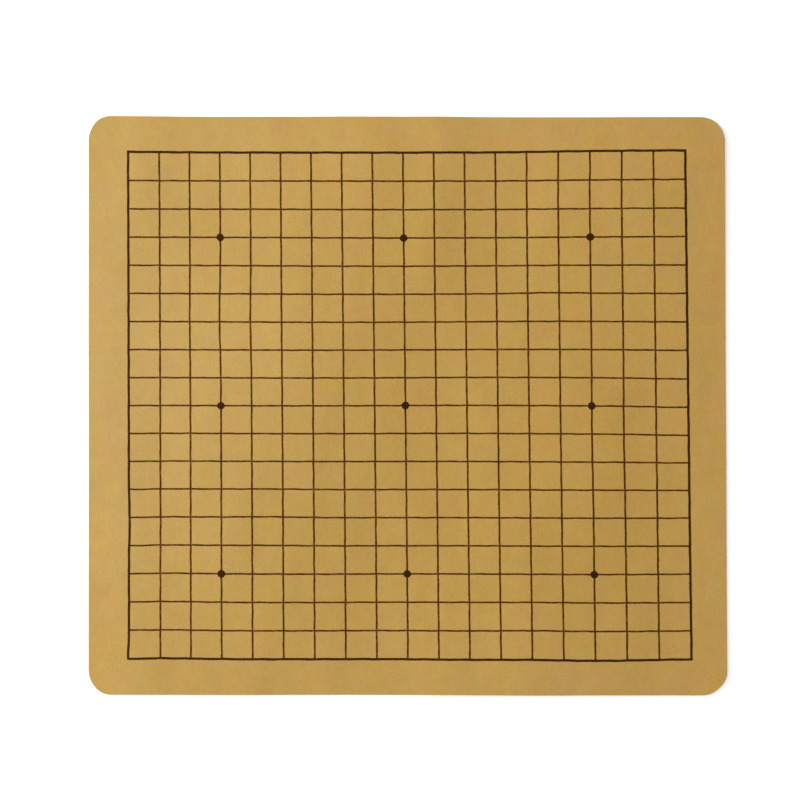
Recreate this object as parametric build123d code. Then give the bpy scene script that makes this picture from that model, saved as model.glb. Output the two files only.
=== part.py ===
from build123d import *
import os

# Reversible go board: a flexible mat that lies flat in play and is rolled up to be put away.
# Two sheets of synthetic leather are glued back to back and die-cut together. Each sheet is a
# dense skin on a foamed coat on a base cloth, and each outer face carries a lattice of lines
# and star points in one film of ink.
#
# Millimetres. X runs along the long side, Y along the short side and Z up. The board lies
# with its nineteen-line face up, and the origin is the centre of the face it lies on.

# Playing lattice. Both faces have the same spacing, because the same stones are used on both.
PITCH_X = 24.6
PITCH_Y = 22.3
GO_LINES = 19
REVERSE_LINES = 13

# Bare margin between the nineteen-line border and the cut edge
SIDE_MARGIN = 30.7
END_MARGIN = 28.0
CORNER_RADIUS = 19.5

# Layers of the laminate, from a playing face inwards
SKIN_THICKNESS = 0.30
FOAM_THICKNESS = 0.15
CLOTH_THICKNESS = 0.30
BOND_THICKNESS = 0.10
EDGE_ROUNDING = 0.12  # the knife draws the skin's outer edge down a little

# Ink. It is pressed into the skin until it is flush, so the face stays smooth under the stones.
INK_DEPTH = 0.05
LINE_WIDTH = 1.2
BORDER_WIDTH = 1.8
STAR_DIAMETER = 6.0
STAR_INSET = 3  # lines from the border to the outer star points

SHEET_THICKNESS = SKIN_THICKNESS + FOAM_THICKNESS + CLOTH_THICKNESS
BOARD_THICKNESS = 2 * SHEET_THICKNESS + BOND_THICKNESS
BOARD_LENGTH = (GO_LINES - 1) * PITCH_X + 2 * SIDE_MARGIN
BOARD_WIDTH = (GO_LINES - 1) * PITCH_Y + 2 * END_MARGIN


def board_outline():
    """The die-cut outline that every layer of the laminate shares."""
    return RectangleRounded(BOARD_LENGTH, BOARD_WIDTH, CORNER_RADIUS)


def layer(bottom, thickness):
    """One flat layer of the laminate, with its underside at height bottom."""
    return Pos(0, 0, bottom) * extrude(board_outline(), thickness)


def line_places(lines, pitch):
    """Where the lines of one direction lie, centred on the board."""
    return [(number - (lines - 1) / 2) * pitch for number in range(lines)]


def star_places(lines, sides):
    """Star points on the lines STAR_INSET from the border and the middle one.

    A full board has one at each of the nine crossings. A small board leaves out those at the
    middle of its sides."""
    inner = [STAR_INSET, (lines - 1) // 2, lines - 1 - STAR_INSET]
    across, along = line_places(lines, PITCH_X), line_places(lines, PITCH_Y)
    return [
        (across[i], along[j])
        for i in inner
        for j in inner
        if sides or (i == inner[1]) == (j == inner[1])
    ]


def lattice(lines, sides):
    """The printed figure of one face: inner lines, a heavier border line and star points."""
    length, width = (lines - 1) * PITCH_X, (lines - 1) * PITCH_Y
    border = Rectangle(length + BORDER_WIDTH, width + BORDER_WIDTH)
    border -= Rectangle(length - BORDER_WIDTH, width - BORDER_WIDTH)
    upright = [Pos(x, 0) * Rectangle(LINE_WIDTH, width) for x in line_places(lines, PITCH_X)[1:-1]]
    level = [Pos(0, y) * Rectangle(length, LINE_WIDTH) for y in line_places(lines, PITCH_Y)[1:-1]]
    stars = [Pos(x, y) * Circle(STAR_DIAMETER / 2) for x, y in star_places(lines, sides)]
    return border + upright + level + stars


def skin(bottom, face_height, ink):
    """One skin: its outer edge is rounded over, and its print is let into the face."""
    sheet = layer(bottom, SKIN_THICKNESS)
    rim = sheet.edges().filter_by_position(Axis.Z, face_height, face_height)
    return fillet(rim, EDGE_ROUNDING) - ink


def main():
    """Builds the laminate from the table up and writes one file for each piece."""
    go_face = BOARD_THICKNESS
    bond_bottom = SHEET_THICKNESS
    bond_top = bond_bottom + BOND_THICKNESS
    go_ink = Pos(0, 0, go_face - INK_DEPTH) * extrude(lattice(GO_LINES, True), INK_DEPTH)
    reverse_ink = extrude(lattice(REVERSE_LINES, False), INK_DEPTH)
    pieces = {
        "reverse_side_print": reverse_ink,
        "reverse_side_skin": skin(0, 0, reverse_ink),
        "reverse_side_foam_coat": layer(SKIN_THICKNESS, FOAM_THICKNESS),
        "reverse_side_backing_cloth": layer(bond_bottom - CLOTH_THICKNESS, CLOTH_THICKNESS),
        "bonding_film": layer(bond_bottom, BOND_THICKNESS),
        "go_side_backing_cloth": layer(bond_top, CLOTH_THICKNESS),
        "go_side_foam_coat": layer(bond_top + CLOTH_THICKNESS, FOAM_THICKNESS),
        "go_side_skin": skin(go_face - SKIN_THICKNESS, go_face, go_ink),
        "go_side_print": go_ink,
    }
    os.makedirs("parts", exist_ok=True)
    for name, piece in pieces.items():
        piece.label = name
        export_step(piece, f"parts/{name}.step")


main()
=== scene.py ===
import math

import bpy
import numpy as np
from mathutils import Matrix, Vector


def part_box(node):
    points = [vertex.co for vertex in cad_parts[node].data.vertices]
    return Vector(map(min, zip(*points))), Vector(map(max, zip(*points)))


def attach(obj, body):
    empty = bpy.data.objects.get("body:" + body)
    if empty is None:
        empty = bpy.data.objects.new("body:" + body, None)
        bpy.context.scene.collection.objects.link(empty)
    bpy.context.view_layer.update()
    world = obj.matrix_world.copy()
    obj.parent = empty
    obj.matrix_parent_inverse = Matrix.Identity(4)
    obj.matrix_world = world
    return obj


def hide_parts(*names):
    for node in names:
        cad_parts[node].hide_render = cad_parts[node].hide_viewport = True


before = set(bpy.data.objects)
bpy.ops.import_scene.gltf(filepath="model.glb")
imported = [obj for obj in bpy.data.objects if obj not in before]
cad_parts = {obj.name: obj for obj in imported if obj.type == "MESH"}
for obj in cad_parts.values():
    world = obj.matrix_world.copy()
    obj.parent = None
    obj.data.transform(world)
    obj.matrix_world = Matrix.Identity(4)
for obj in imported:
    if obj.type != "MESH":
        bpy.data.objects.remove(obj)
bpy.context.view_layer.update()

MM = 0.001
bpy.context.scene.view_settings.view_transform = "Standard"

# Reverse side leather.
# The dense outer coat of the lower sheet: soft PVC, calendered onto foam and embossed with a fine
# pebble grain. It is the face that the board lies on. The knife has drawn its cut edge over a little.
GRAIN_PEBBLE = 1.1 * MM  # a fine leather grain is 0.5 to 0.8 mm, drawn coarser so that a pixel holds it
GRAIN_DEPTH = 0.06 * MM
PATCH_SIZE = 16 * MM  # patches where the mix of pigments is a little redder, yellower or greyer
CLOUD_SIZE = 45 * MM  # clouds where the coat is a little deeper or paler, the pale ones whitened as a painted sheen
PORE_SIZE = 0.44 * MM  # pores in the pebbles, drawn coarser by the same share
RIPPLE_SIZE = 24 * MM  # faint ripples left by rolling, too low to be drawn in the mesh
RIPPLE_HEIGHT = 0.25 * MM
ROLL_STRETCH = 0.4  # clouds and ripples are longer along the roll, which lies with Y
SKIN_LOW = "#AC8628"
SKIN_HIGH = "#C7A060"
# The clouds are random tone, and partly a painted sheen: the pale ones are whiter, as a sheen would leave
# them.
CLOUD_DEEP = (0.945, 0.93, 0.89)
CLOUD_PALE_AND_SHEEN = (1.055, 1.07, 1.11)
LEFT_END_PAINTED_LIGHT = (0.984, 1.003, 1.0)  # painted light: less red towards the lit left end, whitened as its sheen would whiten it
RIGHT_END_PAINTED_LIGHT = (1.05, 1.035, 1.09)  # and paler towards the right end, a painted brightening
MIDDLE_DEEPER = (0.963, 0.958, 0.847)  # the middle is a shade deeper and yellower than the rim
RIM_PLAIN = 24 * MM  # the rim keeps its plain colour up to this distance from the cut
MIDDLE_DEEPEST = 95 * MM  # and the middle is at its deepest beyond this one
CROWN_TONE = 0.07  # the crowns of the pebbles are paler and the creases darker by this share
CORNER_RADIUS = 19.5 * MM
EDGE_ROUNDING = 0.12 * MM
KNIFE_SLIP = 0.03 * MM  # how far the cut wavers
KNIFE_WAVE = 9 * MM  # and over what length, divided by two to five
SHARP_ANGLE = math.radians(35)  # shading stays sharp across an edge that turns by more than this
GRID_STEP = 5 * MM
CORNER_STEPS = 9
RIM_ROW = 0.4 * MM  # a last row of points close to the cut keeps the face flat up to it

reverse_face, reverse_skin_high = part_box("reverse_side_skin")
HALF_LENGTH, HALF_WIDTH = reverse_skin_high[0], reverse_skin_high[1]

# A mat that is kept rolled up never lies quite flat. Low swells cross it, its right end lifts a little,
# a low ridge runs along its left end, and a soft wrinkle runs in from the far edge. The cloth has also
# relaxed a little out of square, and no two of the corners that the knife left are quite alike.
TABLE_CLEARANCE = 0.08 * MM
END_LIFT = 0.35 * MM
END_STEEPNESS = 10  # the power of x that the lift grows with, so that only the last few centimetres rise
SWELLS = (
    # half height, length, how much y counts beside x, phase
    (0.90 * MM, 242 * MM, -0.29, 3.82),
    (0.13 * MM, 78 * MM, 0.16, 2.1),
    (0.06 * MM, 47 * MM, -0.24, 4.0),
    (0.15 * MM, 950 * MM, 5.00, 1.2),
)
RIDGE_HEIGHT = 0.6 * MM
RIDGE_TAPER = 0.35  # the share by which the ridge is lower at the far edge and higher at the near one
RIDGE_PLACE = -224 * MM
RIDGE_HALF_WIDTH = 25 * MM
WRINKLE_HEIGHT = 0.8 * MM
WRINKLE_PLACE = 24 * MM
WRINKLE_HALF_WIDTH = 17 * MM
WRINKLE_START = 62 * MM
WRINKLE_FULL = 130 * MM
OUT_OF_SQUARE = 0.0018
KNIFE_CORNERS = (
    # middle of a corner, how far it stands out of its round
    (-243 * MM, 226 * MM, 0.75 * MM),
    (-241 * MM, -227 * MM, 0.75 * MM),
    (245 * MM, -224 * MM, -0.5 * MM),
    (245 * MM, 224 * MM, 0.3 * MM),
)
CORNER_REACH = 8 * MM


def lie(x, y, height):
    """Where a place of the flat mat comes to lie on the table, the same for every layer."""
    rise = TABLE_CLEARANCE + END_LIFT * np.clip(x / HALF_LENGTH, 0, None) ** END_STEEPNESS
    for tall, long, lean, phase in SWELLS:
        rise = rise + tall * (1 + np.sin(2 * math.pi * (x + lean * y) / long + phase))
    taper = 1 - RIDGE_TAPER * y / HALF_WIDTH
    rise = rise + RIDGE_HEIGHT * taper * np.exp(-(((x - RIDGE_PLACE) / RIDGE_HALF_WIDTH) ** 2))
    grown = np.clip((y - WRINKLE_START) / (WRINKLE_FULL - WRINKLE_START), 0, 1)
    grown = grown**2 * (3 - 2 * grown)
    rise = rise + WRINKLE_HEIGHT * grown * np.exp(-(((x - WRINKLE_PLACE) / WRINKLE_HALF_WIDTH) ** 2))
    laid_x, laid_y = x - OUT_OF_SQUARE * y, y - OUT_OF_SQUARE * x
    diagonal = math.sqrt(0.5)
    for corner_x, corner_y, out in KNIFE_CORNERS:
        near = np.exp(-(((x - corner_x) ** 2 + (y - corner_y) ** 2) / CORNER_REACH**2))
        laid_x = laid_x + math.copysign(diagonal, corner_x) * out * near
        laid_y = laid_y + math.copysign(diagonal, corner_y) * out * near
    return np.stack([laid_x, laid_y, height + rise], axis=-1)


def stations(half, inset):
    """Places of a face's grid lines along one side: close together in the round corners."""
    corner = CORNER_RADIUS - inset
    inner = half - CORNER_RADIUS
    shares = [i / CORNER_STEPS for i in range(CORNER_STEPS)] + [1 - RIM_ROW / corner, 1]
    rim = inner + corner * np.array(shares)
    middle = np.linspace(-inner, inner, round(2 * inner / GRID_STEP) + 1)[1:-1]
    return np.concatenate([-rim[::-1], middle, rim])


def face_places(inset):
    """The grid of a face whose outline is drawn in by inset, with its four corners made round."""
    x, y = np.meshgrid(stations(HALF_LENGTH, inset), stations(HALF_WIDTH, inset), indexing="ij")
    corner = CORNER_RADIUS - inset
    inner_x, inner_y = HALF_LENGTH - CORNER_RADIUS, HALF_WIDTH - CORNER_RADIUS
    u = np.clip((np.abs(x) - inner_x) / corner, 0, 1)
    v = np.clip((np.abs(y) - inner_y) / corner, 0, 1)
    in_corner = (u > 0) & (v > 0)
    round_x = np.sign(x) * (inner_x + corner * u * np.sqrt(1 - v * v / 2))
    round_y = np.sign(y) * (inner_y + corner * v * np.sqrt(1 - u * u / 2))
    return np.where(in_corner, round_x, x), np.where(in_corner, round_y, y)


COLUMNS = len(stations(HALF_LENGTH, 0))
ROWS = len(stations(HALF_WIDTH, 0))
index = np.arange(COLUMNS * ROWS).reshape(COLUMNS, ROWS)
border = np.concatenate([index[:-1, 0], index[-1, :-1], index[:0:-1, -1], index[0, :0:-1]])


def layer(name, rim, seed):
    """One closed layer of the mat, whose cut edge runs down the list rim of (inset, height)."""
    phases = np.random.default_rng(seed).uniform(0, 2 * math.pi, 4)
    quads = [index[:-1, :-1], index[1:, :-1], index[1:, 1:], index[:-1, 1:]]
    quads = np.stack(quads, axis=-1).reshape(-1, 4)
    places, faces, rings = [], [], []
    for level, (inset, height) in enumerate(rim):
        x, y = [place.reshape(-1) for place in face_places(inset)]
        waves = [np.sin((x * (2 + k) + y * (5 - k)) / KNIFE_WAVE + phases[k]) for k in range(4)]
        slip = sum(waves) / len(waves)
        x[border] *= 1 + KNIFE_SLIP * slip[border] / HALF_LENGTH
        y[border] *= 1 + KNIFE_SLIP * slip[border] / HALF_WIDTH
        start = sum(len(block) for block in places)
        block = lie(x, y, height)
        if level in (0, len(rim) - 1):
            faces.append(start + (quads if level == 0 else quads[:, ::-1]))
            places.append(block)
            rings.append(start + border)
        else:
            places.append(block[border])
            rings.append(start + np.arange(len(border)))
    for above, below in zip(rings, rings[1:]):
        faces.append(np.stack([above, below, np.roll(below, -1), np.roll(above, -1)], axis=-1))
    mesh = bpy.data.meshes.new(name)
    mesh.from_pydata(np.concatenate(places).tolist(), [], np.concatenate(faces).tolist())
    mesh.shade_smooth()
    mesh.set_sharp_from_angle(angle=SHARP_ANGLE)
    piece = bpy.data.objects.new(name, mesh)
    bpy.context.collection.objects.link(piece)
    return piece


def drawn_over(face_height, inwards):
    """The quarter round that the knife leaves along a skin's outer edge, from the face to the side."""
    turns = [math.radians(degrees) for degrees in (0, 30, 60, 90)]
    return [
        (EDGE_ROUNDING * (1 - math.sin(turn)), face_height + inwards * EDGE_ROUNDING * (1 - math.cos(turn)))
        for turn in turns
    ]


def linear(hexadecimal):
    """An sRGB colour as the linear values that a shader takes."""
    levels = [int(hexadecimal[i : i + 2], 16) / 255 for i in (1, 3, 5)]
    return [c / 12.92 if c <= 0.04045 else ((c + 0.055) / 1.055) ** 2.4 for c in levels] + [1.0]


def add(tree, kind, feeds=None, **settings):
    """Adds a node with its settings and links. Feeds go to its inputs by name or number, or in turn
    where they are a list. Each is a plain value, a socket, or a list of sockets for one input."""
    made = tree.nodes.new(kind)
    for name, value in settings.items():
        setattr(made, name, value)
    feeds = dict(enumerate(feeds)) if isinstance(feeds, list) else feeds or {}
    for name, value in feeds.items():
        sockets = value if isinstance(value, list) else [value]
        if isinstance(sockets[0], bpy.types.NodeSocket):
            for socket in sockets:
                tree.links.new(socket, made.inputs[name])
        else:
            made.inputs[name].default_value = value
    return made


# A Mix node's sockets for colours and for vectors share their names, so they go by number.
MIX_A, MIX_B, MIX_RESULT = 6, 7, 2
FACTOR_EACH, VECTOR_A, VECTOR_B, VECTOR_RESULT = 1, 4, 5, 1


def embossed_soft_pvc(name, shift):
    """Soft PVC, calendered and embossed. It gives the eye a matt tan face with a fine pebble grain,
    clouded by a few percent, and a weak broad sheen. The shift picks another part of the roll."""
    material = bpy.data.materials.new(name)
    material.use_nodes = True
    tree = material.node_tree
    tree.nodes.clear()
    place = add(tree, "ShaderNodeTexCoord").outputs["Object"]
    end = add(tree, "ShaderNodeSeparateXYZ", [place]).outputs["X"]
    end = add(
        tree,
        "ShaderNodeMapRange",
        {"Value": end, "From Min": -HALF_LENGTH, "From Max": HALF_LENGTH},
    ).outputs["Result"]
    # A painted drift of light from end to end: less red on the left, paler on the right.
    painted_light_drift = add(
        tree,
        "ShaderNodeMix",
        {"Factor": end, VECTOR_A: LEFT_END_PAINTED_LIGHT, VECTOR_B: RIGHT_END_PAINTED_LIGHT},
        data_type="VECTOR",
    ).outputs[VECTOR_RESULT]
    # The middle of the face is made a shade deeper and yellower than its rim, fading in between two
    # distances from the cut.
    inwards = add(tree, "ShaderNodeVectorMath", [place], operation="ABSOLUTE").outputs["Vector"]
    inwards = add(
        tree,
        "ShaderNodeVectorMath",
        [(HALF_LENGTH, HALF_WIDTH, 0.0), inwards],
        operation="SUBTRACT",
    ).outputs["Vector"]
    inwards = add(tree, "ShaderNodeSeparateXYZ", [inwards]).outputs
    inwards = add(tree, "ShaderNodeMath", [inwards["X"], inwards["Y"]], operation="MINIMUM").outputs[0]
    middle_tone = add(
        tree,
        "ShaderNodeMapRange",
        {"Value": inwards, "From Min": RIM_PLAIN, "From Max": MIDDLE_DEEPEST},
    ).outputs["Result"]
    middle_tone = add(
        tree,
        "ShaderNodeMix",
        {"Factor": middle_tone, VECTOR_A: (1.0, 1.0, 1.0), VECTOR_B: MIDDLE_DEEPER},
        data_type="VECTOR",
    ).outputs[VECTOR_RESULT]
    place = add(tree, "ShaderNodeMapping", {"Vector": place, "Location": shift}).outputs["Vector"]
    along = (1.0, ROLL_STRETCH, 1.0)
    along = add(tree, "ShaderNodeMapping", {"Vector": place, "Scale": along}).outputs["Vector"]
    patches = add(
        tree,
        "ShaderNodeTexNoise",
        {"Vector": place, "Scale": 1 / PATCH_SIZE, "Detail": 5.0, "Roughness": 0.9},
    ).outputs["Color"]
    tan = add(
        tree,
        "ShaderNodeMix",
        {FACTOR_EACH: patches, VECTOR_A: linear(SKIN_LOW)[:3], VECTOR_B: linear(SKIN_HIGH)[:3]},
        data_type="VECTOR",
        factor_mode="NON_UNIFORM",
    ).outputs[VECTOR_RESULT]
    clouds = add(
        tree,
        "ShaderNodeTexNoise",
        {"Vector": along, "Scale": 1 / CLOUD_SIZE, "Detail": 6.0, "Roughness": 0.88},
    ).outputs["Fac"]
    cloud = add(
        tree,
        "ShaderNodeMapRange",
        {"Value": clouds, "From Min": 0.3, "From Max": 0.7},
    ).outputs["Result"]
    # Deeper or paler clouds, the pale side partly a painted sheen.
    cloud = add(
        tree,
        "ShaderNodeMix",
        {"Factor": cloud, VECTOR_A: CLOUD_DEEP, VECTOR_B: CLOUD_PALE_AND_SHEEN},
        data_type="VECTOR",
    ).outputs[VECTOR_RESULT]
    tan = add(tree, "ShaderNodeVectorMath", [tan, cloud], operation="MULTIPLY").outputs["Vector"]
    tan = add(tree, "ShaderNodeVectorMath", [tan, painted_light_drift], operation="MULTIPLY").outputs["Vector"]
    tan = add(tree, "ShaderNodeVectorMath", [tan, middle_tone], operation="MULTIPLY").outputs["Vector"]
    pebble = add(
        tree,
        "ShaderNodeTexVoronoi",
        {"Vector": place, "Scale": 1 / GRAIN_PEBBLE, "Smoothness": 0.4},
        feature="SMOOTH_F1",
    ).outputs["Distance"]
    pores = add(
        tree,
        "ShaderNodeTexNoise",
        {"Vector": place, "Scale": 1 / PORE_SIZE, "Detail": 2.0},
    ).outputs["Fac"]
    grain = add(tree, "ShaderNodeMath", [pores, pebble], operation="SUBTRACT").outputs[0]
    # Paler on the pebbles' crowns, darker in the creases and pores.
    crown_to_crease = {"To Min": 1 - CROWN_TONE, "To Max": 1 + CROWN_TONE}
    crown = add(
        tree,
        "ShaderNodeMapRange",
        {"Value": grain, "From Min": -0.2, "From Max": 0.6, **crown_to_crease},
    ).outputs["Result"]
    tan = add(tree, "ShaderNodeVectorMath", {0: tan, "Scale": crown}, operation="SCALE").outputs["Vector"]
    ripples = add(
        tree,
        "ShaderNodeTexNoise",
        {"Vector": along, "Scale": 1 / RIPPLE_SIZE, "Detail": 2.0},
    ).outputs["Fac"]
    rolled = add(
        tree,
        "ShaderNodeBump",
        {"Height": ripples, "Distance": RIPPLE_HEIGHT, "Strength": 1.0},
    ).outputs["Normal"]
    relief = add(
        tree,
        "ShaderNodeBump",
        {"Height": grain, "Distance": GRAIN_DEPTH, "Strength": 1.0, "Normal": rolled},
    ).outputs["Normal"]
    dull = add(
        tree,
        "ShaderNodeMapRange",
        {"Value": pores, "From Min": 0.3, "From Max": 0.7, "To Min": 0.37, "To Max": 0.47},
    ).outputs["Result"]
    shader = add(
        tree,
        "ShaderNodeBsdfPrincipled",
        {"Base Color": tan, "Roughness": dull, "IOR": 1.52, "Specular IOR Level": 0.25, "Normal": relief},
    )
    add(tree, "ShaderNodeOutputMaterial", {"Surface": shader.outputs["BSDF"]})
    return material


def lay(piece, node):
    """Hides the CAD layer that a piece stands for and hangs the piece on the root."""
    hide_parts(node)
    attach(piece, "root")


reverse_leather = layer(
    "reverse_side_leather",
    [(0, reverse_skin_high[2])] + drawn_over(reverse_face[2], 1)[::-1],
    seed=1,
)
reverse_leather.data.materials.append(embossed_soft_pvc("embossed_soft_pvc_reverse", (0.7, 0.3, 0.2)))

# Reverse side foam coat.
# PVC blown with a foaming agent, cast between the skin and the cloth to make the sheet soft. It shows
# only in the cut edge, where it stands back a little because the skin is harder.
FOAM_CELL = 0.3 * MM  # blown cells are about 0.1 mm, drawn coarser so that the edge shows them
FOAM_BACK = 0.04 * MM
FOAM_TAN = "#CDAA6E"
# The open cells are painted darker: a painted shade in their hollows.
FOAM_PAINTED_SHADE = "#A98650"


def blown_pvc_foam():
    """PVC foam, blown and cut through. It gives the eye a dull pale tan with small open cells."""
    material = bpy.data.materials.new("blown_pvc_foam")
    material.use_nodes = True
    tree = material.node_tree
    tree.nodes.clear()
    place = add(tree, "ShaderNodeTexCoord").outputs["Object"]
    cells = add(tree, "ShaderNodeTexVoronoi", {"Vector": place, "Scale": 1 / FOAM_CELL}).outputs["Distance"]
    open_cell = add(
        tree,
        "ShaderNodeMapRange",
        {"Value": cells, "From Min": 0.15, "From Max": 0.45},
    ).outputs["Result"]
    # Painted shade: darker in the open cells' hollows.
    tan = add(
        tree,
        "ShaderNodeMix",
        {"Factor": open_cell, MIX_A: linear(FOAM_PAINTED_SHADE), MIX_B: linear(FOAM_TAN)},
        data_type="RGBA",
    ).outputs[MIX_RESULT]
    relief = add(
        tree,
        "ShaderNodeBump",
        {"Height": open_cell, "Distance": 0.1 * FOAM_CELL, "Strength": 0.8},
    ).outputs["Normal"]
    shader = add(
        tree,
        "ShaderNodeBsdfPrincipled",
        {"Base Color": tan, "Roughness": 0.85, "IOR": 1.52, "Normal": relief},
    )
    add(tree, "ShaderNodeOutputMaterial", {"Surface": shader.outputs["BSDF"]})
    return material


def plain_rim(node, back):
    """A square-cut edge between a CAD layer's two faces, standing back from the knife's line."""
    low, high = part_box(node)
    return [(back, high[2]), (back, low[2])]


foam = blown_pvc_foam()
reverse_foam = layer("reverse_side_foam", plain_rim("reverse_side_foam_coat", FOAM_BACK), seed=2)
reverse_foam.data.materials.append(foam)
lay(reverse_foam, "reverse_side_foam_coat")

# Reverse side backing cloth.
# The base cloth that carries the coats: a light plain weave of polyester and cotton. It shows only in
# the cut edge, as a pale line of thread ends.
THREAD_SPACING = 0.5 * MM  # the real cloth has a thread each 0.35 mm, drawn coarser so that it shows
CLOTH_BACK = 0.09 * MM
YARN_DIAMETER = 0.2 * MM
YARN_ROOT = 0.08 * MM  # how far a thread end starts inside the cut
YARN_OUT = 0.04 * MM  # how far it stands out of it
YARN_UNEVEN = 0.4  # the share by which thread ends are longer or shorter
YARN_ASKEW = 0.22
YARN_TAPER = 0.72  # a cut end is thinner than its root by this factor
OVER_AND_UNDER = 0.09 * MM
WAVE_BAND = math.pi / 10  # the length in which a Wave node at a scale of 1 draws one band
CLOTH_PALE = "#D9CBAA"
# Between the crossings of the threads the cloth is painted darker: a painted shade in the gaps.
CLOTH_PAINTED_SHADE = "#A89872"


def plain_woven_cloth():
    """Undyed polyester and cotton, plain woven. It gives the eye a dull pale cloth with a checkered
    crossing of threads."""
    material = bpy.data.materials.new("plain_woven_cloth")
    material.use_nodes = True
    tree = material.node_tree
    tree.nodes.clear()
    place = add(tree, "ShaderNodeTexCoord").outputs["Object"]
    warp, weft = [
        add(
            tree,
            "ShaderNodeTexWave",
            {"Vector": place, "Scale": WAVE_BAND / THREAD_SPACING, "Distortion": 0.6, "Detail": 1.0},
            bands_direction=direction,
        ).outputs["Fac"]
        for direction in ("X", "Y")
    ]
    weave = add(tree, "ShaderNodeMath", [warp, weft], operation="MULTIPLY").outputs[0]
    # Pale where the threads cross over, painted shade between them.
    pale = add(
        tree,
        "ShaderNodeMix",
        {"Factor": weave, MIX_A: linear(CLOTH_PAINTED_SHADE), MIX_B: linear(CLOTH_PALE)},
        data_type="RGBA",
    ).outputs[MIX_RESULT]
    relief = add(
        tree,
        "ShaderNodeBump",
        {"Height": weave, "Distance": 0.2 * THREAD_SPACING, "Strength": 0.8},
    ).outputs["Normal"]
    shader = add(
        tree,
        "ShaderNodeBsdfPrincipled",
        {"Base Color": pale, "Roughness": 0.92, "IOR": 1.53, "Sheen Weight": 0.15, "Normal": relief},
    )
    add(tree, "ShaderNodeOutputMaterial", {"Surface": shader.outputs["BSDF"]})
    return material


def cut_thread_ends():
    """Geometry nodes for the thread ends along a cut: one short stub of yarn at each step of the
    outline, over and under in turn, each a little longer or more askew than the next."""
    tree = bpy.data.node_groups.new("cut_thread_ends", "GeometryNodeTree")
    tree.is_modifier = True
    for name, kind in {
        "Outline": "Geometry",
        "Spacing": "Float",
        "Yarn": "Float",
        "Length": "Float",
        "Over And Under": "Float",
        "Askew": "Float",
        "Seed": "Int",
        "Cloth": "Material",
    }.items():
        tree.interface.new_socket(name=name, in_out="INPUT", socket_type="NodeSocket" + kind)
    tree.interface.new_socket(name="Geometry", in_out="OUTPUT", socket_type="NodeSocketGeometry")
    size = add(tree, "NodeGroupInput").outputs
    cut = add(tree, "GeometryNodeMeshToCurve", {"Mesh": size["Outline"]}).outputs["Curve"]
    cut = add(
        tree,
        "GeometryNodeResampleCurve",
        {"Curve": cut, "Length": size["Spacing"]},
        mode="LENGTH",
    ).outputs["Curve"]
    number = add(tree, "GeometryNodeInputIndex").outputs["Index"]
    turn = add(tree, "ShaderNodeMath", [number, 2.0], operation="MODULO").outputs[0]
    turn = add(tree, "ShaderNodeMath", [turn, 0.5], operation="SUBTRACT").outputs[0]
    lift = add(tree, "ShaderNodeMath", [turn, size["Over And Under"]], operation="MULTIPLY").outputs[0]
    lift = add(tree, "ShaderNodeCombineXYZ", {"Z": lift}).outputs["Vector"]
    cut = add(tree, "GeometryNodeSetPosition", {"Geometry": cut, "Offset": lift}).outputs["Geometry"]
    yarn = add(
        tree,
        "GeometryNodeMeshCone",
        {"Vertices": 6, "Radius Top": 0.5 * YARN_TAPER, "Radius Bottom": 0.5, "Depth": 1.0},
        fill_type="NGON",
    ).outputs["Mesh"]
    along = add(tree, "GeometryNodeInputTangent").outputs["Tangent"]
    outwards = add(
        tree,
        "ShaderNodeVectorMath",
        [along, (0.0, 0.0, 1.0)],
        operation="CROSS_PRODUCT",
    ).outputs["Vector"]
    askew = add(
        tree,
        "FunctionNodeRandomValue",
        {0: (-1.0, -1.0, -1.0), 1: (1.0, 1.0, 1.0), "Seed": size["Seed"]},
        data_type="FLOAT_VECTOR",
    ).outputs[0]
    askew = add(
        tree,
        "ShaderNodeVectorMath",
        {0: askew, "Scale": size["Askew"]},
        operation="SCALE",
    ).outputs["Vector"]
    outwards = add(tree, "ShaderNodeVectorMath", [outwards, askew], operation="ADD").outputs["Vector"]
    facing = add(
        tree,
        "FunctionNodeAlignRotationToVector",
        {"Vector": outwards},
        axis="Z",
    ).outputs["Rotation"]
    longer = add(
        tree,
        "FunctionNodeRandomValue",
        {2: 1 - YARN_UNEVEN, 3: 1 + YARN_UNEVEN, "Seed": size["Seed"]},
        data_type="FLOAT",
    ).outputs[1]
    long = add(tree, "ShaderNodeMath", [longer, size["Length"]], operation="MULTIPLY").outputs[0]
    stub = add(tree, "ShaderNodeCombineXYZ", [size["Yarn"], size["Yarn"], long]).outputs["Vector"]
    ends = add(
        tree,
        "GeometryNodeInstanceOnPoints",
        {"Points": cut, "Instance": yarn, "Rotation": facing, "Scale": stub},
    ).outputs["Instances"]
    ends = add(tree, "GeometryNodeRealizeInstances", {"Geometry": ends}).outputs["Geometry"]
    ends = add(
        tree,
        "GeometryNodeSetMaterial",
        {"Geometry": ends, "Material": size["Cloth"]},
    ).outputs["Geometry"]
    add(tree, "NodeGroupOutput", {"Geometry": ends})
    return tree


def from_nodes(name, start, tree, sizes):
    """Runs geometry nodes once on a mesh and keeps the result as a plain mesh."""
    maker = bpy.data.objects.new(name, start)
    bpy.context.collection.objects.link(maker)
    modifier = maker.modifiers.new("nodes", "NODES")
    modifier.node_group = tree
    for socket in tree.interface.items_tree:
        if socket.in_out == "INPUT" and socket.name in sizes:
            modifier[socket.identifier] = sizes[socket.name]
    ready = bpy.context.evaluated_depsgraph_get()
    mesh = bpy.data.meshes.new_from_object(maker.evaluated_get(ready), depsgraph=ready)
    maker.modifiers.remove(modifier)
    maker.data = mesh
    mesh.name = name
    return maker


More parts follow.
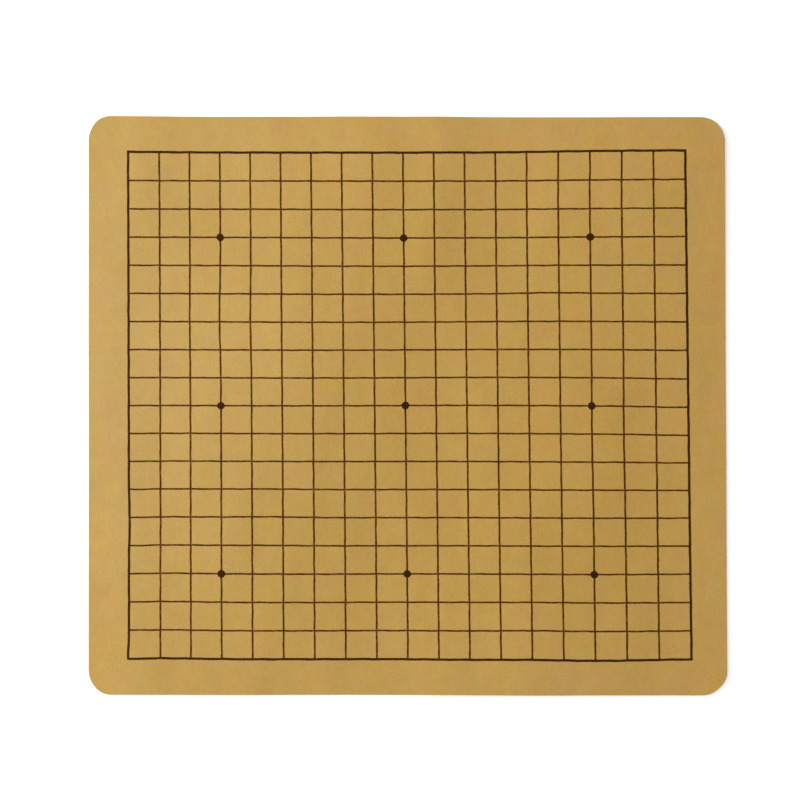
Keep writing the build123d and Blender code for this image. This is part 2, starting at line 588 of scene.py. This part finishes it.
def thread_ends(name, node, seed):
    """The thread ends along one cloth's cut edge."""
    low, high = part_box(node)
    x, y = [place.reshape(-1)[border] for place in face_places(CLOTH_BACK + YARN_ROOT)]
    outline = bpy.data.meshes.new(name)
    steps = range(len(border))
    outline.from_pydata(
        lie(x, y, (low[2] + high[2]) / 2).tolist(),
        [(step, (step + 1) % len(border)) for step in steps],
        [],
    )
    sizes = {
        "Spacing": THREAD_SPACING,
        "Yarn": YARN_DIAMETER,
        "Length": 2 * (YARN_ROOT + YARN_OUT),
        "Over And Under": OVER_AND_UNDER,
        "Askew": YARN_ASKEW,
        "Seed": seed,
        "Cloth": cloth,
    }
    ends = from_nodes(name, outline, thread_cutter, sizes)
    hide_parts(node)
    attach(ends, "root")
    return ends


cloth = plain_woven_cloth()
thread_cutter = cut_thread_ends()
reverse_cloth = layer("reverse_side_cloth", plain_rim("reverse_side_backing_cloth", CLOTH_BACK), seed=3)
reverse_cloth.data.materials.append(cloth)
reverse_threads = thread_ends("reverse_side_thread_ends", "reverse_side_backing_cloth", seed=11)
lay(reverse_cloth, "reverse_side_backing_cloth")

# Bonding film.
# The glue that joins the two sheets back to back, rolled on hot and set as a thin clear film. Only its
# edge shows, as a fine amber line in the middle of the cut.
GLUE_BACK = 0.03 * MM
SMEAR_SIZE = 2 * MM
GLUE_AMBER = "#B89A5E"


def set_hot_melt_glue():
    """Hot-melt glue, rolled on and set. It gives the eye a thin amber line with a slight gloss."""
    material = bpy.data.materials.new("set_hot_melt_glue")
    material.use_nodes = True
    tree = material.node_tree
    tree.nodes.clear()
    place = add(tree, "ShaderNodeTexCoord").outputs["Object"]
    smear = add(tree, "ShaderNodeTexNoise", {"Vector": place, "Scale": 1 / SMEAR_SIZE}).outputs["Fac"]
    gloss = add(
        tree,
        "ShaderNodeMapRange",
        {"Value": smear, "To Min": 0.25, "To Max": 0.5},
    ).outputs["Result"]
    shader = add(
        tree,
        "ShaderNodeBsdfPrincipled",
        {"Base Color": linear(GLUE_AMBER), "Roughness": gloss, "IOR": 1.48},
    )
    add(tree, "ShaderNodeOutputMaterial", {"Surface": shader.outputs["BSDF"]})
    return material


glue = layer("glue_film", plain_rim("bonding_film", GLUE_BACK), seed=4)
glue.data.materials.append(set_hot_melt_glue())
lay(glue, "bonding_film")

# Go side backing cloth.
# The base cloth of the upper sheet, the same cloth as below, laid with its bare back on the glue.
go_cloth = layer("go_side_cloth", plain_rim("go_side_backing_cloth", CLOTH_BACK), seed=5)
go_cloth.data.materials.append(cloth)
go_threads = thread_ends("go_side_thread_ends", "go_side_backing_cloth", seed=12)
lay(go_cloth, "go_side_backing_cloth")

# Go side foam coat.
# The foamed coat of the upper sheet, the same as below, between its cloth and its skin.
go_foam = layer("go_side_foam", plain_rim("go_side_foam_coat", FOAM_BACK), seed=6)
go_foam.data.materials.append(foam)
lay(go_foam, "go_side_foam_coat")

# Go side leather.
# The dense outer coat of the upper sheet: the same soft PVC as the reverse, embossed in another run of
# the same roll, so its grain and clouds lie elsewhere. It is the face that is played on.
go_skin_low, go_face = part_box("go_side_skin")
go_leather = layer("go_side_leather", drawn_over(go_face[2], -1) + [(0, go_skin_low[2])], seed=7)
go_leather.data.materials.append(embossed_soft_pvc("embossed_soft_pvc_go", (0.16, 0.8, 0.5)))

# Go side print.
# One film of ink, screen printed in a single pull: nineteen lines each way, a heavier border and nine
# star points. It stands a few hundredths of a millimetre proud, and the screen's pull has drawn the
# lines slightly out of true.
GO_LINES, REVERSE_LINES = 19, 13
STAR_INSET = 3
BORDER_WIDTH = 1.92 * MM
UPRIGHT_WIDTH = 1.5 * MM
LEVEL_WIDTH = 1.4 * MM
STAR_DIAMETER = 6.1 * MM
PITCH_X = 24.6 * MM
PITCH_Y = 22.3 * MM
INK_PROUD = 0.04 * MM
INK_SUNK = 0.03 * MM
CELL_POINTS = 4 * 30
BORDER_POINTS = 1800
MERGE_WITHIN = 0.0005 * MM
RAGGED = 0.09 * MM
RAGGED_SIZE = 1.6 * MM  # the screen's threads leave teeth of 0.1 mm, drawn longer so that they show
FULL_SWING = 4.0  # a Noise node's values stay within about a quarter of their middle
INK_DOT = "#301B02"  # the thick ink of the star points
INK_LINE = "#4B2400"  # a narrow line takes up less ink, so that it looks browner
INK_THIN = "#684614"
BORDER_BODY = 0.78  # how thick the border's ink is, between a line's and a star point's
DOT_REACH = 1.15  # thick ink starts this far out, in radii of a star point, past its ragged edge
BORDER_REACH = 0.998  # and this far out, in shares of the border's inner size, short of its ragged edge
THIN_PATCH = 5 * MM  # patches where a line's ink is thin


def printed_lattice():
    """Geometry nodes for one print. The ink is a sheet with a hole for each cell: the cell outlines are
    clipped by the border, pushed out round the star points, filled and given the film's thickness."""
    tree = bpy.data.node_groups.new("printed_lattice", "GeometryNodeTree")
    tree.is_modifier = True
    for name, kind in {
        "Lines": "Int",
        "Pitch": "Vector",
        "Line Width": "Vector",
        "Border Width": "Float",
        "Star Diameter": "Float",
        "Star Inset": "Int",
        "Side Stars": "Float",
        "Film": "Float",
        "Cell Points": "Int",
        "Border Points": "Int",
        "Ragged": "Float",
        "Ragged Size": "Float",
        "Border Body": "Float",
        "Seed": "Int",
        "Ink": "Material",
    }.items():
        tree.interface.new_socket(name=name, in_out="INPUT", socket_type="NodeSocket" + kind)
    tree.interface.new_socket(name="Geometry", in_out="OUTPUT", socket_type="NodeSocketGeometry")
    size = add(tree, "NodeGroupInput").outputs

    number, vector = "ShaderNodeMath", "ShaderNodeVectorMath"
    gaps = add(tree, number, [size["Lines"], 1.0], operation="SUBTRACT").outputs[0]
    steps = add(tree, number, [gaps, 1.0], operation="SUBTRACT").outputs[0]
    span = add(tree, vector, [size["Pitch"], steps], operation="MULTIPLY").outputs[0]
    span = add(tree, "ShaderNodeSeparateXYZ", [span]).outputs
    centres = add(tree, "GeometryNodeMeshGrid", [span[0], span[1], gaps, gaps]).outputs["Mesh"]

    # One cell: a unit square whose points crowd towards its corners, where the star points cut it.
    square = add(
        tree,
        "GeometryNodeCurvePrimitiveQuadrilateral",
        {"Width": 1.0, "Height": 1.0},
    ).outputs["Curve"]
    square = add(
        tree,
        "GeometryNodeResampleCurve",
        {"Curve": square, "Count": size["Cell Points"]},
    ).outputs["Curve"]
    here = add(tree, "GeometryNodeInputPosition").outputs["Position"]
    crowd = add(tree, vector, [here, (math.pi, math.pi, 0.0)], operation="MULTIPLY").outputs[0]
    crowd = add(tree, vector, [crowd], operation="SINE").outputs[0]
    crowd = add(tree, vector, [crowd, (0.5, 0.5, 0.0)], operation="MULTIPLY").outputs[0]
    square = add(
        tree,
        "GeometryNodeSetPosition",
        {"Geometry": square, "Position": crowd},
    ).outputs["Geometry"]
    bare = add(tree, vector, [size["Pitch"], size["Line Width"]], operation="SUBTRACT").outputs[0]
    cells = add(
        tree,
        "GeometryNodeInstanceOnPoints",
        {"Points": centres, "Instance": square, "Scale": bare},
    ).outputs["Instances"]
    cells = add(tree, "GeometryNodeRealizeInstances", {"Geometry": cells}).outputs["Geometry"]

    # The heavier border narrows the outer cells.
    whole = add(tree, vector, [size["Pitch"], gaps], operation="MULTIPLY").outputs[0]
    outer = add(tree, vector, [whole, size["Border Width"]], operation="ADD").outputs[0]
    inner = add(tree, vector, [whole, size["Border Width"]], operation="SUBTRACT").outputs[0]
    inner = add(tree, vector, [inner, (0.5, 0.5, 0.0)], operation="MULTIPLY").outputs[0]
    opposite = add(tree, vector, [inner, (-1.0, -1.0, 0.0)], operation="MULTIPLY").outputs[0]
    inside = add(tree, vector, [here, inner], operation="MINIMUM").outputs[0]
    inside = add(tree, vector, [inside, opposite], operation="MAXIMUM").outputs[0]
    cells = add(
        tree,
        "GeometryNodeSetPosition",
        {"Geometry": cells, "Position": inside},
    ).outputs["Geometry"]

    # Points that fall inside a star point are pushed out to its circle. The nearest star point is
    # found by snapping to their spacing, and no further out than the outer ones.
    steps = add(tree, number, [gaps, 0.5], operation="MULTIPLY").outputs[0]
    steps = add(tree, number, [steps, size["Star Inset"]], operation="SUBTRACT").outputs[0]
    spacing = add(tree, vector, [size["Pitch"], steps], operation="MULTIPLY").outputs[0]
    near = add(tree, vector, [spacing, (0.5, 0.5, 0.0), here], operation="MULTIPLY_ADD").outputs[0]
    near = add(tree, vector, [near, spacing], operation="SNAP").outputs[0]
    opposite = add(tree, vector, [spacing, (-1.0, -1.0, 0.0)], operation="MULTIPLY").outputs[0]
    near = add(tree, vector, [near, spacing], operation="MINIMUM").outputs[0]
    near = add(tree, vector, [near, opposite], operation="MAXIMUM").outputs[0]
    away = add(tree, vector, [here, near], operation="SUBTRACT").outputs[0]
    distance = add(tree, vector, [away], operation="LENGTH").outputs["Value"]
    radius = add(tree, number, [size["Star Diameter"], 0.5], operation="MULTIPLY").outputs[0]
    pushed = add(tree, vector, [away], operation="NORMALIZE").outputs[0]
    pushed = add(tree, vector, [pushed, radius, near], operation="MULTIPLY_ADD").outputs[0]
    place = add(tree, vector, [near, spacing], operation="DIVIDE").outputs[0]
    place = add(tree, vector, [place], operation="ABSOLUTE").outputs[0]
    place = add(tree, "ShaderNodeSeparateXYZ", [place]).outputs
    uneven = add(tree, number, [place[0], place[1]], operation="SUBTRACT").outputs[0]
    uneven = add(tree, number, [uneven], operation="ABSOLUTE").outputs[0]
    starred = add(tree, number, [uneven, 0.5], operation="LESS_THAN").outputs[0]
    starred = add(tree, number, [starred, size["Side Stars"]], operation="MAXIMUM").outputs[0]
    covered = add(tree, number, [distance, radius], operation="LESS_THAN").outputs[0]
    covered = add(tree, number, [covered, starred], operation="MULTIPLY").outputs[0]
    cells = add(
        tree,
        "GeometryNodeSetPosition",
        {"Geometry": cells, "Selection": covered, "Position": pushed},
    ).outputs["Geometry"]

    # The border's outer edge, then the small raggedness of a screened edge all over.
    outer = add(tree, "ShaderNodeSeparateXYZ", [outer]).outputs
    frame_line = add(
        tree,
        "GeometryNodeCurvePrimitiveQuadrilateral",
        {"Width": outer[0], "Height": outer[1]},
    ).outputs["Curve"]
    frame_line = add(
        tree,
        "GeometryNodeResampleCurve",
        {"Curve": frame_line, "Count": size["Border Points"]},
    ).outputs["Curve"]
    edges = add(tree, "GeometryNodeJoinGeometry", {"Geometry": [cells, frame_line]}).outputs["Geometry"]
    teeth = add(tree, number, [1.0, size["Ragged Size"]], operation="DIVIDE").outputs[0]
    noise = add(
        tree,
        "ShaderNodeTexNoise",
        {"Vector": here, "W": size["Seed"], "Scale": teeth, "Detail": 1.0},
        noise_dimensions="4D",
    ).outputs["Color"]
    slip = add(tree, vector, [noise, (0.5, 0.5, 0.5)], operation="SUBTRACT").outputs[0]
    slip = add(tree, vector, [slip, (FULL_SWING, FULL_SWING, 0.0)], operation="MULTIPLY").outputs[0]
    slip = add(tree, vector, [slip, size["Ragged"]], operation="MULTIPLY").outputs[0]
    edges = add(
        tree,
        "GeometryNodeSetPosition",
        {"Geometry": edges, "Offset": slip},
    ).outputs["Geometry"]

    # The film: filled between the edges, raised, and closed with its own underside.
    under = add(tree, "GeometryNodeFillCurve", {"Curve": edges}, mode="TRIANGLES").outputs["Mesh"]
    top = add(
        tree,
        "GeometryNodeExtrudeMesh",
        {"Mesh": under, "Offset Scale": size["Film"], "Individual": False},
        mode="FACES",
    ).outputs["Mesh"]
    under = add(tree, "GeometryNodeFlipFaces", {"Mesh": under}).outputs["Mesh"]
    film = add(tree, "GeometryNodeJoinGeometry", {"Geometry": [top, under]}).outputs["Geometry"]
    film = add(
        tree,
        "GeometryNodeMergeByDistance",
        {"Geometry": film, "Distance": MERGE_WITHIN},
    ).outputs["Geometry"]

    # How thick the ink is at each point: most in a star point, less in the border, least in a line.
    reach = add(tree, number, [radius, DOT_REACH], operation="MULTIPLY").outputs[0]
    dotted = add(tree, number, [distance, reach], operation="LESS_THAN").outputs[0]
    dotted = add(tree, number, [dotted, starred], operation="MULTIPLY").outputs[0]
    past = add(tree, vector, [here], operation="ABSOLUTE").outputs[0]
    short = (-BORDER_REACH, -BORDER_REACH, 0.0)
    past = add(tree, vector, [inner, short, past], operation="MULTIPLY_ADD").outputs[0]
    past = add(tree, "ShaderNodeSeparateXYZ", [past]).outputs
    edged = add(tree, number, [past[0], past[1]], operation="MAXIMUM").outputs[0]
    edged = add(tree, number, [edged, 0.0], operation="GREATER_THAN").outputs[0]
    edged = add(tree, number, [edged, size["Border Body"]], operation="MULTIPLY").outputs[0]
    body = add(tree, number, [dotted, edged], operation="MAXIMUM").outputs[0]
    film = add(
        tree,
        "GeometryNodeStoreNamedAttribute",
        {"Geometry": film, "Name": "ink_body", "Value": body},
        data_type="FLOAT",
        domain="POINT",
    ).outputs["Geometry"]
    film = add(tree, "GeometryNodeRealizeInstances", {"Geometry": film}).outputs["Geometry"]
    film = add(
        tree,
        "GeometryNodeSetMaterial",
        {"Geometry": film, "Material": size["Ink"]},
    ).outputs["Geometry"]
    add(tree, "NodeGroupOutput", {"Geometry": film})
    return tree


def screen_ink():
    """Matt vinyl ink, screen printed. It gives the eye a flat brown-black in the star points, and in the
    lines, which take up less of it, a warmer brown that thins here and there."""
    material = bpy.data.materials.new("screen_ink")
    material.use_nodes = True
    tree = material.node_tree
    tree.nodes.clear()
    place = add(tree, "ShaderNodeTexCoord").outputs["Object"]
    cover = add(
        tree,
        "ShaderNodeTexNoise",
        {"Vector": place, "Scale": 1 / THIN_PATCH, "Detail": 4.0, "Roughness": 0.65},
    ).outputs["Fac"]
    thin = add(
        tree,
        "ShaderNodeMapRange",
        {"Value": cover, "From Min": 0.43, "From Max": 0.7},
    ).outputs["Result"]
    brown = add(
        tree,
        "ShaderNodeMix",
        {"Factor": thin, MIX_A: linear(INK_LINE), MIX_B: linear(INK_THIN)},
        data_type="RGBA",
    ).outputs[MIX_RESULT]
    body = add(tree, "ShaderNodeAttribute", attribute_name="ink_body").outputs["Fac"]
    brown = add(
        tree,
        "ShaderNodeMix",
        {"Factor": body, MIX_A: brown, MIX_B: linear(INK_DOT)},
        data_type="RGBA",
    ).outputs[MIX_RESULT]
    tooth = add(tree, "ShaderNodeTexNoise", {"Vector": place, "Scale": 1 / GRAIN_PEBBLE}).outputs["Fac"]
    relief = add(
        tree,
        "ShaderNodeBump",
        {"Height": tooth, "Distance": 0.5 * GRAIN_DEPTH, "Strength": 1.0},
    ).outputs["Normal"]
    shader = add(
        tree,
        "ShaderNodeBsdfPrincipled",
        {"Base Color": brown, "Roughness": 0.6, "IOR": 1.5, "Specular IOR Level": 0.06, "Normal": relief},
    )
    add(tree, "ShaderNodeOutputMaterial", {"Surface": shader.outputs["BSDF"]})
    return material


def lay_film(piece, height, upwards, drawn_out):
    """Draws the lines out of true and lays the film on the face that it is printed on."""
    flat = np.empty(3 * len(piece.data.vertices))
    piece.data.vertices.foreach_get("co", flat)
    x, y, z = flat.reshape(-1, 3).T
    x, y = drawn_out(x, y)
    piece.data.vertices.foreach_set("co", lie(x, y, height + upwards * (z - INK_SUNK)).reshape(-1))
    if upwards < 0:
        piece.data.flip_normals()
    piece.data.shade_smooth()
    piece.data.set_sharp_from_angle(angle=SHARP_ANGLE)
    piece.data.update()


lattice = printed_lattice()
ink = screen_ink()
print_sizes = {
    "Lines": GO_LINES,
    "Pitch": (PITCH_X, PITCH_Y, 0.0),
    "Line Width": (UPRIGHT_WIDTH, LEVEL_WIDTH, 0.0),
    "Border Width": BORDER_WIDTH,
    "Star Diameter": STAR_DIAMETER,
    "Star Inset": STAR_INSET,
    "Side Stars": 1.0,
    "Film": INK_PROUD + INK_SUNK,
    "Cell Points": CELL_POINTS,
    "Border Points": BORDER_POINTS,
    "Ragged": RAGGED,
    "Ragged Size": RAGGED_SIZE,
    "Border Body": BORDER_BODY,
    "Seed": 3,
    "Ink": ink,
}
go_ink = from_nodes("go_side_ink", bpy.data.meshes.new("go_side_ink"), lattice, print_sizes)

HALF_LATTICE_X = PITCH_X * (GO_LINES - 1) / 2
HALF_LATTICE_Y = PITCH_Y * (GO_LINES - 1) / 2
PULLS = (
    # place, pull sideways and upwards, reach along X and along Y, all in millimetres
    (-142, 70, -1.0, 0.0, 28, 28),
    (-222, -202, -0.75, -0.5, 17, 17),
    (-222, -93, 0.65, 0.0, 20, 20),
    (-222, -125, 0.0, -1.0, 22, 90),
    (-197, 0, 0.4, 0.0, 10, 400),
    (-110, -89, 0.0, 0.65, 40, 32),
    (99, -182, 0.0, 0.65, 32, 35),
    (116, 89, 0.0, 0.6, 28, 14),
    (150, 195, 0.65, 0.35, 50, 16),
    (150, -203, 0.0, -0.45, 40, 12),
    (160, -20, -0.6, 0.0, 28, 42),
    (212, -11, 0.0, -0.75, 25, 50),
)
SHAKES = ((0.07, 27 * MM, 0.61), (0.06, 16 * MM, 1.37))  # height in millimetres, length, lean


def go_drawn_out(x, y):
    """The screen's pull on the nineteen-line print. It shifts, leans and bows the lines by up to about
    3 mm, pulls them aside in a few places and leaves small waves. The pulls are in millimetres."""
    u, v = x / HALF_LATTICE_X, y / HALF_LATTICE_Y
    sideways = -1.60 - 1.80 * u - 1.44 * v + 2.43 * u**2 + 1.67 * u**3 - 0.65 * u * v
    sideways = sideways - 0.21 * np.sin(math.pi * (u + 0.5 * v)) + 0.14 * np.cos(2 * math.pi * u)
    upwards = -0.45 + 0.22 * u - 1.94 * v + 1.76 * v**3 + 0.68 * u * v + 1.28 * (u * v) ** 2
    upwards = upwards + 0.23 * np.sin(math.pi * (1.5 * u - 0.5 * v)) + 0.14 * np.cos(math.pi * (u - 2 * v))
    for place_x, place_y, aside, up, reach_x, reach_y in PULLS:
        near = np.exp(-(((x / MM - place_x) / reach_x) ** 2) - ((y / MM - place_y) / reach_y) ** 2)
        sideways, upwards = sideways + aside * near, upwards + up * near
    for shake, length, lean in SHAKES:
        sideways = sideways + shake * np.sin(2 * math.pi * (y + lean * x) / length)
        upwards = upwards + shake * np.sin(2 * math.pi * (x - lean * y) / length + lean)
    return x + sideways * MM, y + upwards * MM


lay_film(go_ink, go_face[2], 1, go_drawn_out)
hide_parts("go_side_print")
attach(go_ink, "root")
lay(go_leather, "go_side_skin")

# Reverse side print.
# The second lattice, pulled with the same ink on the other face: thirteen lines each way at the same
# pitch, because the same stones are used, with a star point at the middle and at four corners.
SMALL_BORDER_POINTS = 1200
reverse_sizes = {
    **print_sizes,
    "Lines": REVERSE_LINES,
    "Side Stars": 0.0,
    "Border Points": SMALL_BORDER_POINTS,
    "Seed": 8,
}
reverse_start = bpy.data.meshes.new("reverse_side_ink")
reverse_ink = from_nodes("reverse_side_ink", reverse_start, lattice, reverse_sizes)


def reverse_drawn_out(x, y):
    """The screen's pull on the small print, which differs from the other face's, in millimetres."""
    u, v = x / HALF_LATTICE_X, y / HALF_LATTICE_Y
    sideways = 0.6 + 0.9 * v - 1.2 * u**2 + 0.18 * np.sin(6.0 * v + 4.4 * u)
    upwards = -0.4 + 0.5 * u + 0.8 * v**2 + 0.18 * np.sin(5.6 * u - 3.7 * v)
    return x + sideways * MM, y + upwards * MM


lay_film(reverse_ink, reverse_face[2], -1, reverse_drawn_out)
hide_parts("reverse_side_print")
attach(reverse_ink, "root")
lay(reverse_leather, "reverse_side_skin")

# Floor.
# A plain pale table top that the board lies on. It shows white to the camera and keeps the board's
# shadow.
FLOOR_HALF = 6.0
FLOOR_PALE = "#F2F2F0"
FLOOR_GLOW = 0.42
FAR_GLOW = 0.62
GLOW_NEAR = 0.6  # metres from the board's middle where the glow starts to rise, as the lamps' light fades
GLOW_FAR = 2.5


def pale_table_top():
    """A matt white board. It gives the eye a plain white ground with the board's soft shadow."""
    material = bpy.data.materials.new("pale_table_top")
    material.use_nodes = True
    tree = material.node_tree
    tree.nodes.clear()
    seen = add(tree, "ShaderNodeLightPath").outputs
    shown = seen["Is Camera Ray"]
    for ray in ("Is Glossy Ray", "Is Transmission Ray"):
        shown = add(tree, "ShaderNodeMath", [shown, seen[ray]], operation="MAXIMUM").outputs[0]
    place = add(tree, "ShaderNodeTexCoord").outputs["Object"]
    distance = add(tree, "ShaderNodeVectorMath", [place], operation="LENGTH").outputs["Value"]
    reach = {"From Min": GLOW_NEAR, "From Max": GLOW_FAR, "To Min": FLOOR_GLOW, "To Max": FAR_GLOW}
    glow = add(tree, "ShaderNodeMapRange", {"Value": distance, **reach}).outputs["Result"]
    glow = add(tree, "ShaderNodeMath", [shown, glow], operation="MULTIPLY").outputs[0]
    shader = add(
        tree,
        "ShaderNodeBsdfPrincipled",
        {
            "Base Color": linear(FLOOR_PALE),
            "Roughness": 0.9,
            "Emission Color": (1.0, 1.0, 1.0, 1.0),
            "Emission Strength": glow,
        },
    )
    add(tree, "ShaderNodeOutputMaterial", {"Surface": shader.outputs["BSDF"]})
    return material


floor_mesh = bpy.data.meshes.new("table_top")
floor_mesh.from_pydata(
    [(x * FLOOR_HALF, y * FLOOR_HALF, 0.0) for x, y in ((-1, -1), (1, -1), (1, 1), (-1, 1))],
    [],
    [(0, 1, 2, 3)],
)
floor = bpy.data.objects.new("table_top", floor_mesh)
bpy.context.collection.objects.link(floor)
floor_mesh.materials.append(pale_table_top())

# Studio light.
# An even pale room. A large soft lamp stands low on the left and shows the swells, and a small soft
# panel above the left end gives that end its sheen. The right side is left darker.
ROOM_LEVEL = 0.416
LAMPS = (
    # name, place, diameter, power
    ("soft_lamp", (-2.7, 1.0, 1.15), 1.7, 106.0),
    ("sheen_panel", (-0.62, 0.1, 1.35), 0.5, 6.2),
)

world = bpy.data.worlds.new("pale_room")
bpy.context.scene.world = world
world.use_nodes = True
sky = world.node_tree
sky.nodes.clear()
seen = add(sky, "ShaderNodeLightPath").outputs
white = seen["Is Camera Ray"]
for ray in ("Is Glossy Ray", "Is Transmission Ray"):
    white = add(sky, "ShaderNodeMath", [white, seen[ray]], operation="MAXIMUM").outputs[0]
level = add(
    sky,
    "ShaderNodeMapRange",
    {"Value": white, "To Min": ROOM_LEVEL, "To Max": 1.0},
).outputs["Result"]
room = add(sky, "ShaderNodeBackground", {"Color": (1.0, 1.0, 1.0, 1.0), "Strength": level})
add(sky, "ShaderNodeOutputWorld", {"Surface": room.outputs["Background"]})

for name, place, diameter, power in LAMPS:
    light = bpy.data.lights.new(name, "AREA")
    light.shape = "DISK"
    light.size = diameter
    light.energy = power
    lamp = bpy.data.objects.new(name, light)
    lamp.location = place
    lamp.rotation_euler = (-lamp.location).to_track_quat("-Z", "Y").to_euler()
    bpy.context.collection.objects.link(lamp)

# Camera.
# Straight above the board, as in the photograph, leaning just enough to widen its near side.
PICTURE = 800  # px
PX_PER_MM = 1.263
BOARD_CENTRE_PX = (407.25, 405.15)
CAMERA_HEIGHT = 1100 * MM
CAMERA_LEAN = math.radians(0.75)
SENSOR_WIDTH = 36.0  # mm

camera_data = bpy.data.cameras.new("camera")
camera_data.sensor_width = SENSOR_WIDTH
camera_data.lens = PX_PER_MM / MM * CAMERA_HEIGHT * SENSOR_WIDTH / PICTURE
camera = bpy.data.objects.new("camera", camera_data)
aim_x = (PICTURE / 2 - BOARD_CENTRE_PX[0]) / PX_PER_MM * MM
aim_y = (BOARD_CENTRE_PX[1] - PICTURE / 2) / PX_PER_MM * MM
camera.location = (
    aim_x,
    aim_y - CAMERA_HEIGHT * math.sin(CAMERA_LEAN),
    go_face[2] + CAMERA_HEIGHT * math.cos(CAMERA_LEAN),
)
camera.rotation_euler = (CAMERA_LEAN, 0.0, 0.0)
bpy.context.collection.objects.link(camera)
bpy.context.scene.camera = camera
